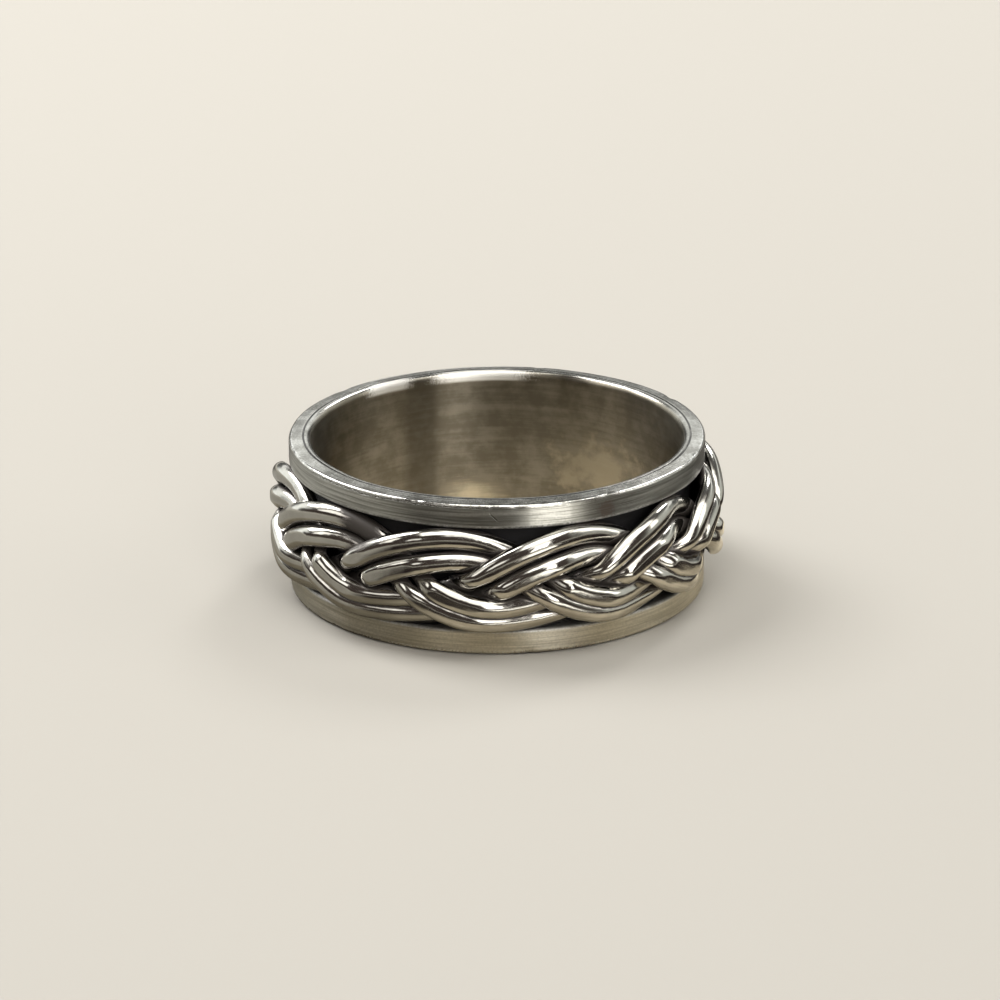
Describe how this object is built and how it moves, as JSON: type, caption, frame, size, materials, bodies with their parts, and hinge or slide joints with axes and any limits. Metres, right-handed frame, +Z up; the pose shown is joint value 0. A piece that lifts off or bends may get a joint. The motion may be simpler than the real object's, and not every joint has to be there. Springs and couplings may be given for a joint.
{
  "type": "braided band ring",
  "caption": "Finger ring with a raised rim at each edge and a plait of paired wires that turns freely in the channel between them.",
  "frame": {"origin": "middle of the lower rim's face, on the finger's axis, where the ring rests", "axes": "+Z is up and along the finger's axis; -Y is the side that the picture shows, and +X is its right"},
  "size_m": [0.0232, 0.0232, 0.008],
  "materials": {
    "band_silver": "brushed silver, worn bright on the rims' outer edges, blackened in the channel",
    "braid_silver": "polished silver on the crests, blackened in the recesses"
  },
  "bodies": {
    "band": {"base_band": "band_silver"},
    "braid": {"braid_strand_1": "braid_silver", "braid_strand_2": "braid_silver", "braid_strand_3": "braid_silver"}
  },
  "joints": [
    {"name": "braid_spin", "type": "hinge", "parent": "band", "child": "braid", "pos_m": [0, 0, 0.004], "axis": [0, 0, 1], "continuous": true}
  ]
}
